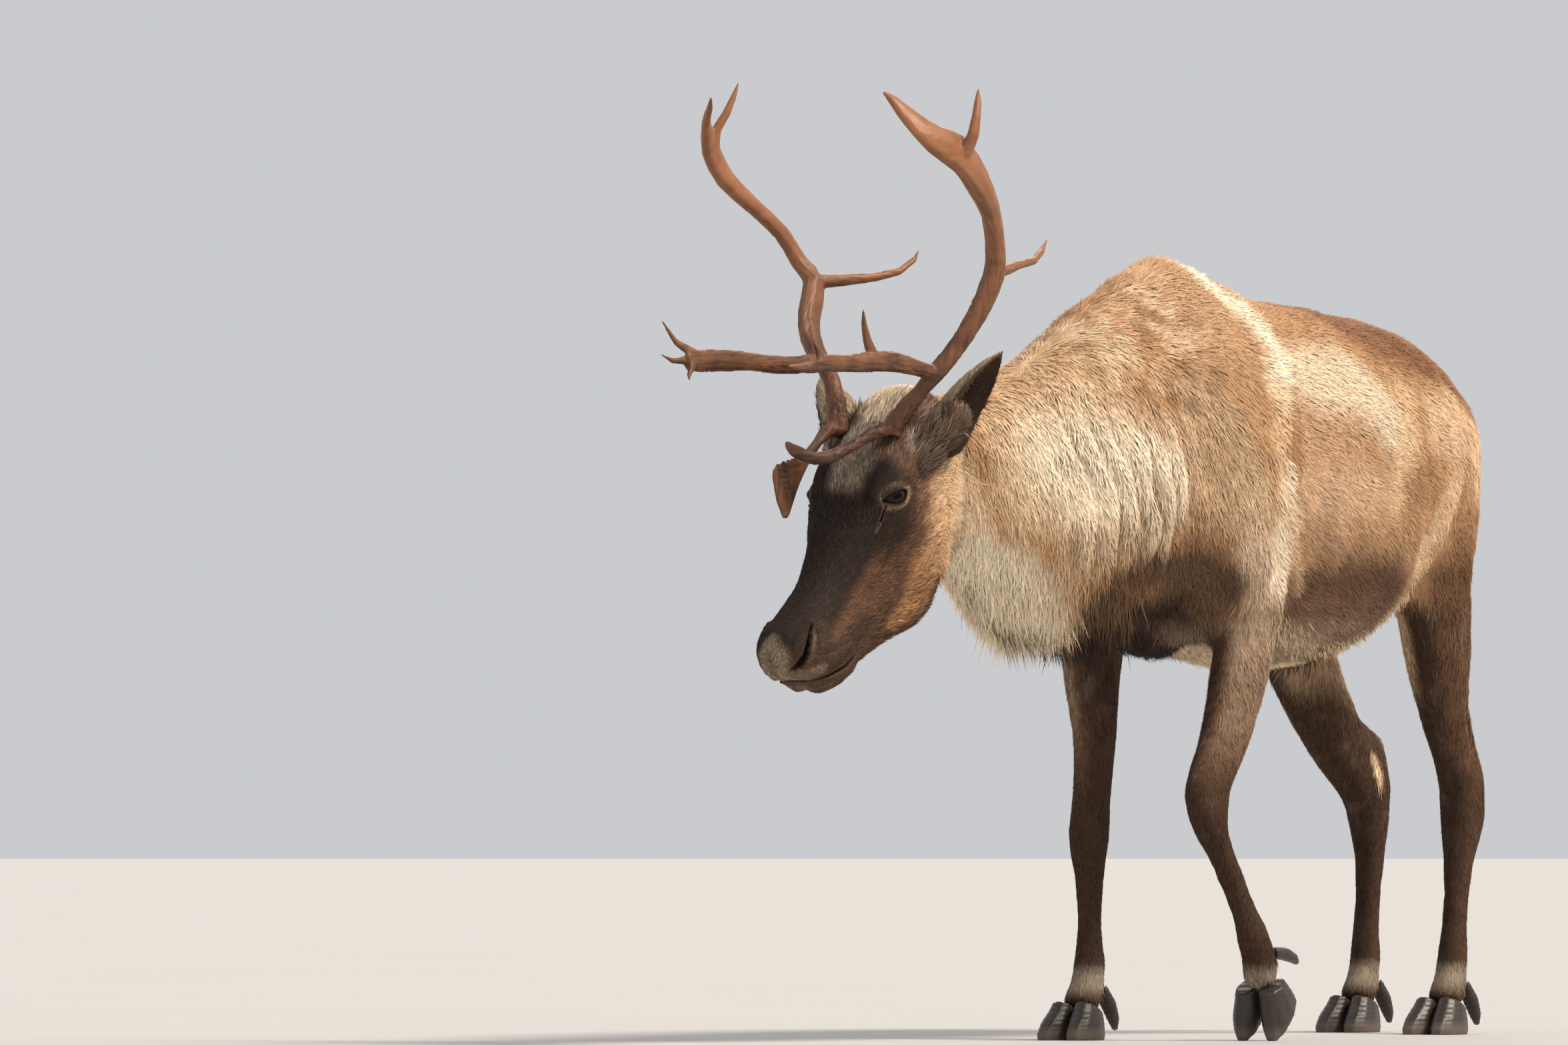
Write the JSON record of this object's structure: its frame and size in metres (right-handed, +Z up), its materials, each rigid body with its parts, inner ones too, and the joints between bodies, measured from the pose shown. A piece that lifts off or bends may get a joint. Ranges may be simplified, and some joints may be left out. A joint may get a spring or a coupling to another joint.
{
  "type": "reindeer",
  "caption": "Life-size still model of a reindeer bull stepping forward with its head low: long-haired throat, branching antlers, cloven hooves.",
  "frame": {"origin": "middle of the bounding box, at the height of the ground under the hooves", "axes": "+Z up, the animal faces -X, its left side is -Y"},
  "size_m": [1.954, 0.5864, 1.3367],
  "materials": {
    "body_coat": "thick winter hair, tan to cream, dark brown on the chest and belly",
    "face_coat": "short hair, dark chocolate brown with a grizzled forehead and tan cheeks",
    "leg_coat": "short hair, dark brown",
    "antler": "bare bone, warm tan brown, satin",
    "hoof": "horn, near black, satin",
    "eye": "wet, dark brown"
  },
  "bodies": {
    "root": {"antler_left_base": "antler", "antler_left_beam": "antler", "antler_left_bez_tine": "antler", "antler_left_brow_tine": "antler", "antler_left_crown": "antler", "antler_left_rear_tine": "antler", "antler_left_top_tine": "antler", "antler_right_base": "antler", "antler_right_beam": "antler", "antler_right_bez_tine": "antler", "antler_right_brow_tine": "antler", "antler_right_crown": "antler", "antler_right_rear_tine": "antler", "antler_right_top_tine": "antler", "ear_left": "face_coat", "ear_right": "face_coat", "eye_left": "eye", "eye_right": "eye", "foreleg_left_cannon": "leg_coat", "foreleg_left_claw_inner": "hoof", "foreleg_left_claw_outer": "hoof", "foreleg_left_dewclaw_inner": "hoof", "foreleg_left_dewclaw_outer": "hoof", "foreleg_left_pastern": "leg_coat", "foreleg_left_upper": "leg_coat", "foreleg_right_cannon": "leg_coat", "foreleg_right_claw_inner": "hoof", "foreleg_right_claw_outer": "hoof", "foreleg_right_dewclaw_inner": "hoof", "foreleg_right_dewclaw_outer": "hoof", "foreleg_right_pastern": "leg_coat", "foreleg_right_upper": "leg_coat", "head": "face_coat", "hindleg_left_cannon": "leg_coat", "hindleg_left_claw_inner": "hoof", "hindleg_left_claw_outer": "hoof", "hindleg_left_dewclaw_inner": "hoof", "hindleg_left_dewclaw_outer": "hoof", "hindleg_left_pastern": "leg_coat", "hindleg_left_upper": "leg_coat", "hindleg_right_cannon": "leg_coat", "hindleg_right_claw_inner": "hoof", "hindleg_right_claw_outer": "hoof", "hindleg_right_dewclaw_inner": "hoof", "hindleg_right_dewclaw_outer": "hoof", "hindleg_right_pastern": "leg_coat", "hindleg_right_upper": "leg_coat", "neck": "body_coat", "tail": "body_coat", "torso": "body_coat"}
  },
  "joints": []
}
